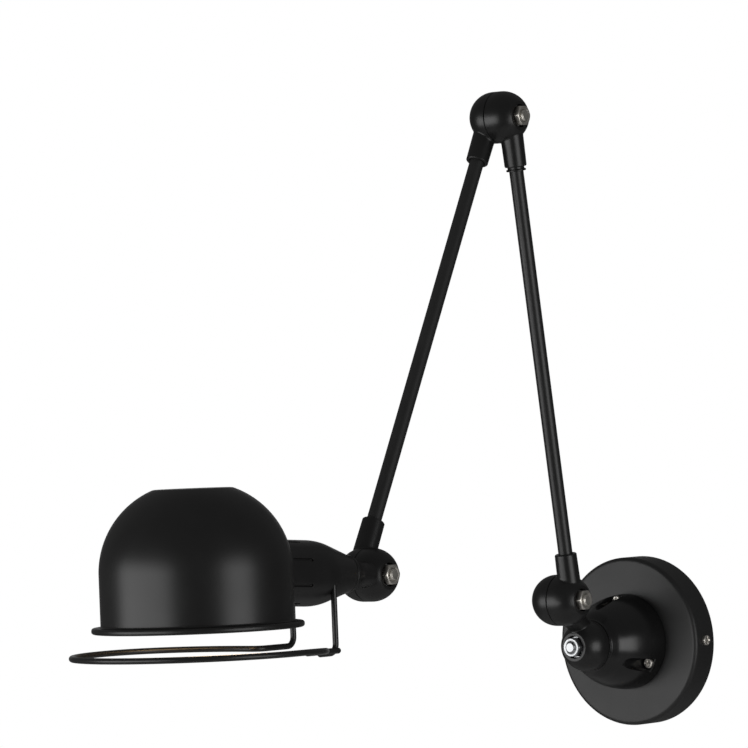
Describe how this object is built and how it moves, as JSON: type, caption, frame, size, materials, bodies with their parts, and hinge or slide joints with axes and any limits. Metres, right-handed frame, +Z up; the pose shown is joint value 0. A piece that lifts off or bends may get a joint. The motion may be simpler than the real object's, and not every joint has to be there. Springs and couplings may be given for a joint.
{
  "type": "adjustable wall lamp",
  "caption": "Wall lamp with a round canopy, a domed swivel, jointed tube arms on ball knuckles and a deep bell shade with a wire ring handle.",
  "frame": {"origin": "middle of the canopy's back edge, on the wall, midway between the two wall screws", "axes": "+Z up along the wall, +Y into the wall, so the lamp reaches out along -Y; +X to the right seen from the room"},
  "size_m": [0.1664, 0.5874, 0.4501],
  "materials": {
    "black_paint": "satin black powder coat",
    "bright_zinc": "bright zinc plate",
    "brass": "plain brass",
    "fibre": "pressed fibre",
    "cable_sheath": "matt sheath",
    "phenolic": "moulded black resin",
    "terminal_plastic": "moulded nylon",
    "bulb_glass": "frosted warm globe"
  },
  "bodies": {
    "wall_mount": {"wall_bracket": "bright_zinc", "canopy": "black_paint", "canopy_side_screws": "bright_zinc", "terminal_block": "terminal_plastic", "earth_screw": "brass", "wall_dome": "black_paint", "dome_screws": "bright_zinc", "dome_screw_nuts": "bright_zinc", "swivel_bolt": "bright_zinc", "swivel_nut": "bright_zinc", "swivel_washer": "bright_zinc", "swivel_friction_disc": "fibre"},
    "elbow": {"swivel_elbow": "black_paint", "wall_knuckle_bolt": "bright_zinc", "wall_knuckle_nut": "bright_zinc", "wall_knuckle_washer": "bright_zinc", "wall_knuckle_disc": "fibre"},
    "lower_arm": {"lower_arm_wall_cup": "black_paint", "lower_arm_tube": "black_paint", "lower_arm_lead": "cable_sheath", "lower_arm_lock_ring": "black_paint", "lower_arm_top_cup": "black_paint"},
    "upper_arm": {"upper_arm_top_cup": "black_paint", "upper_arm_tube": "black_paint", "upper_arm_lead": "cable_sheath", "upper_arm_head_cup": "black_paint", "top_knuckle_bolt": "bright_zinc", "top_knuckle_nut": "bright_zinc", "top_knuckle_washer": "bright_zinc", "top_knuckle_disc": "fibre", "head_knuckle_bolt": "bright_zinc", "head_knuckle_nut": "bright_zinc", "head_knuckle_washer": "bright_zinc", "head_knuckle_disc": "fibre"},
    "yoke": {"head_yoke": "black_paint", "head_nipple": "bright_zinc", "head_nipple_nut": "bright_zinc", "head_swivel_washer": "fibre", "head_lead": "cable_sheath"},
    "shade_head": {"lampholder_cover": "black_paint", "lampholder": "phenolic", "socket_shell": "brass", "centre_contact": "brass", "shade": "black_paint", "shade_clamp_ring": "phenolic", "bulb_cap": "bright_zinc", "bulb_glass": "bulb_glass", "guard_ring": "black_paint"}
  },
  "joints": [
    {"name": "wall_swivel", "type": "hinge", "parent": "wall_mount", "child": "elbow", "pos_m": [0, -0.0674, 0], "axis": [0, -1, 0], "range_deg": [-170, 170]},
    {"name": "lower_arm_pivot", "type": "hinge", "parent": "elbow", "child": "lower_arm", "pos_m": [0.0087, -0.1091, 0.0344], "axis": [1, 0, 0], "range_deg": [-20, 85]},
    {"name": "arm_fold", "type": "hinge", "parent": "lower_arm", "child": "upper_arm", "pos_m": [0.0087, -0.15656, 0.37208], "axis": [1, 0, 0], "range_deg": [-130, 15]},
    {"name": "head_tilt", "type": "hinge", "parent": "upper_arm", "child": "yoke", "pos_m": [0.0087, -0.32064, 0.06349], "axis": [1, 0, 0], "range_deg": [-48, 62]},
    {"name": "shade_swivel", "type": "hinge", "parent": "yoke", "child": "shade_head", "pos_m": [0.0174, -0.35686, 0.06583], "axis": [0, -0.9979, 0.0645], "range_deg": [-90, 90]}
  ]
}
